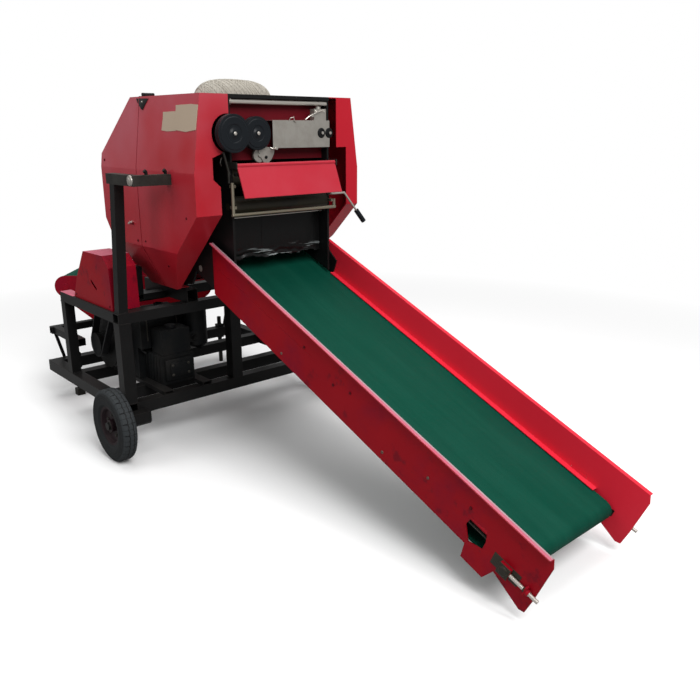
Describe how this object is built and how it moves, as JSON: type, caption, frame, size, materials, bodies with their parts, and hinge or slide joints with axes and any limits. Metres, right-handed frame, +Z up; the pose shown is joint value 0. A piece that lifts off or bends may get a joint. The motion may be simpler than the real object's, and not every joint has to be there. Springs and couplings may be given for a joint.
{
  "type": "round baler",
  "caption": "Small two-wheeled round baler and bale wrapper with an infeed belt conveyor, a two-part bale chamber and a turning wrap table behind.",
  "frame": {"origin": "on the floor, in the middle of the machine's length and width", "axes": "+X forward, towards the infeed conveyor's low end; +Y to the side away from the belt guard; +Z up"},
  "size_m": [3.6514, 1.516, 1.735],
  "materials": {
    "paint_red": "glossy enamel, a little dusty",
    "paint_black": "satin black paint, chipped at the edges",
    "steel": "plain steel, dull",
    "cast_iron": "dark, oily",
    "tyre": "matte, dusty",
    "rubber_black": "satin",
    "belt_green": "satin green conveyor belting",
    "plastic_black": "satin",
    "twine": "wound bale twine, fibrous"
  },
  "bodies": {
    "frame": {"base_side_rails": "paint_black", "base_cross_rails": "paint_black", "deck_legs": "paint_black", "deck_cross_beams": "paint_black", "deck_side_beams": "paint_black", "chamber_sills": "paint_black", "stub_axles": "paint_black", "stand_collars": "paint_black", "chamber_plates": "paint_black", "chamber_rollers": "steel", "twine_tray": "paint_red", "top_panels": "paint_black", "cover_near": "paint_red", "cover_far": "paint_red", "hinge_ears": "paint_black", "twine_rail": "steel", "front_rods": "steel", "twine_pulleys": "plastic_black", "twine_ball": "twine", "flap_hinge": "steel", "roller_guard": "paint_black", "inlet_curtain": "rubber_black", "hand_lever": "steel", "lever_grip": "plastic_black", "stay_post": "paint_black", "stay_bar": "paint_black", "belt_guard": "paint_red", "belt_pulleys": "cast_iron", "drive_belt": "rubber_black", "gearbox": "cast_iron", "drive_rails": "paint_black", "engine_block": "cast_iron", "air_cleaner": "paint_black", "table_pedestal": "paint_black", "table_subframe": "paint_black", "conveyor_side_near": "paint_red", "conveyor_side_far": "paint_red", "head_brackets": "paint_black", "conveyor_rollers": "steel", "conveyor_belt": "belt_green", "conveyor_bed": "steel", "conveyor_ties": "paint_red"},
    "wheel_near": {"tyre_near": "tyre", "rim_near": "paint_black"},
    "wheel_far": {"tyre_far": "tyre", "rim_far": "paint_black"},
    "rear_door": {"door_plates": "paint_black", "door_rollers": "steel", "door_shell": "paint_red", "door_covers": "paint_red", "hinge_leaves": "paint_black"},
    "guard_flap": {"guard_flap": "paint_red"},
    "wrap_table": {"table_plates": "paint_red", "table_rollers": "steel", "table_belt": "belt_green", "table_base": "paint_red"},
    "stand_near": {"stand_near": "steel"},
    "stand_far": {"stand_far": "steel"},
    "feed_drum": {"feed_drum": "steel"}
  },
  "joints": [
    {"name": "wheel_near_spin", "type": "hinge", "parent": "frame", "child": "wheel_near", "pos_m": [-0.29493, -0.72, 0.175], "axis": [0, 1, 0], "continuous": true},
    {"name": "wheel_far_spin", "type": "hinge", "parent": "frame", "child": "wheel_far", "pos_m": [-0.29493, 0.72, 0.175], "axis": [0, 1, 0], "continuous": true},
    {"name": "rear_door_hinge", "type": "hinge", "parent": "frame", "child": "rear_door", "pos_m": [-0.39993, 0, 1.665], "axis": [0, 1, 0], "range_deg": [0, 60]},
    {"name": "guard_flap_hinge", "type": "hinge", "parent": "frame", "child": "guard_flap", "pos_m": [0.15707, 0, 1.367], "axis": [0, -1, 0], "range_deg": [0, 90]},
    {"name": "wrap_table_spin", "type": "hinge", "parent": "frame", "child": "wrap_table", "pos_m": [-1.31693, 0, 0.437], "axis": [0, 0, 1], "continuous": true},
    {"name": "stand_near_slide", "type": "slide", "parent": "frame", "child": "stand_near", "axis": [0, 0, 1], "range_m": [0, 0.12]},
    {"name": "stand_far_slide", "type": "slide", "parent": "frame", "child": "stand_far", "axis": [0, 0, 1], "range_m": [0, 0.12]},
    {"name": "feed_drum_spin", "type": "hinge", "parent": "frame", "child": "feed_drum", "pos_m": [0.07807, 0, 1.19], "axis": [0, 1, 0], "continuous": true}
  ]
}
